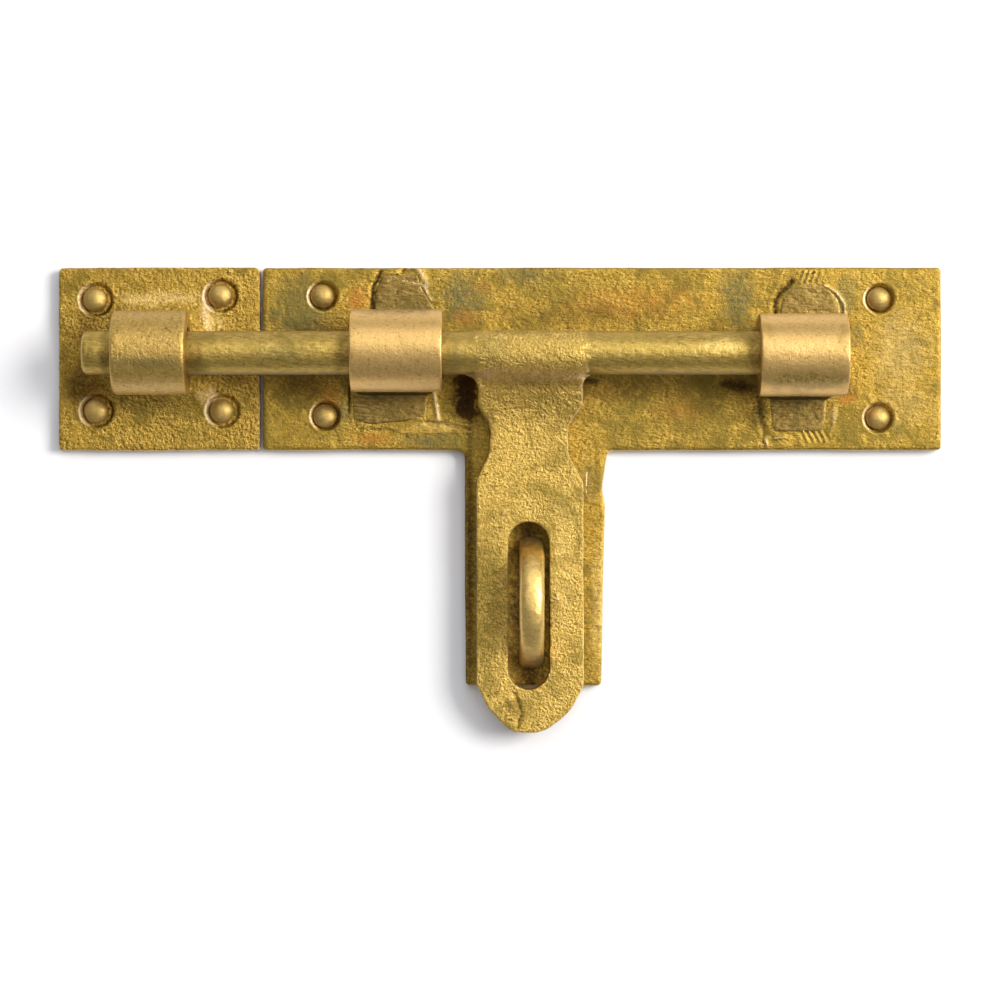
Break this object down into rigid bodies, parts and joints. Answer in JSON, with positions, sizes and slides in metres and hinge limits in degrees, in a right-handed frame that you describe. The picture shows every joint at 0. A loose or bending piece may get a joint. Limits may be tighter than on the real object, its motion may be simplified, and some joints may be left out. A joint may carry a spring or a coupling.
{
  "type": "toggle bolt latch",
  "caption": "Brass door bolt with a hinged slotted hasp over a padlock staple, a T-shaped back plate and a separate barrel keeper.",
  "frame": {"origin": "on the back face of the main plate, under the point where the hasp's centreline crosses the bolt's axis", "axes": "+X along the bolt towards its withdrawn side, +Y from the hasp towards the bolt, +Z out of the door; the latch lies on its back"},
  "size_m": [0.1999, 0.105, 0.0232],
  "materials": {
    "plate_brass": "aged, filed sheet brass with green-grey and copper-coloured patina",
    "cast_brass": "sand-cast brass, fine-grained, with brown in the hollows",
    "barrel_brass": "filed and brushed tube with a pinkish tan tone and fine pits",
    "bolt_brass": "worn bar brass, olive in the low places",
    "nail_brass": "smooth domed heads"
  },
  "bodies": {
    "base": {"main_plate": "plate_brass", "left_guide": "barrel_brass", "right_guide": "barrel_brass", "left_guide_saddle": "plate_brass", "right_guide_saddle": "plate_brass", "staple": "bolt_brass", "plate_nail_upper_left": "nail_brass", "plate_nail_lower_left": "nail_brass", "plate_nail_upper_right": "nail_brass", "plate_nail_lower_right": "nail_brass"},
    "bolt": {"bolt_rod": "bolt_brass"},
    "hasp": {"hasp": "cast_brass"},
    "keeper": {"keeper_plate": "cast_brass", "keeper_barrel": "barrel_brass", "keeper_nail_upper_left": "nail_brass", "keeper_nail_lower_left": "nail_brass", "keeper_nail_upper_right": "nail_brass", "keeper_nail_lower_right": "nail_brass"}
  },
  "joints": [
    {"name": "bolt_draw", "type": "slide", "parent": "base", "child": "bolt", "axis": [1, 0, 0], "range_m": [0, 0.0364]},
    {"name": "hasp_swing", "type": "hinge", "parent": "bolt", "child": "hasp", "pos_m": [0, 0, 0.0138], "axis": [-1, 0, 0], "range_deg": [0, 190]},
    {"name": "keeper_apart", "type": "slide", "parent": "base", "child": "keeper", "axis": [-1, 0, 0], "range_m": [0, 0.045]}
  ],
  "couplings": [
    {"joint": "bolt_draw", "follows": "hasp_swing", "m_per_rad": 0.010976}
  ]
}
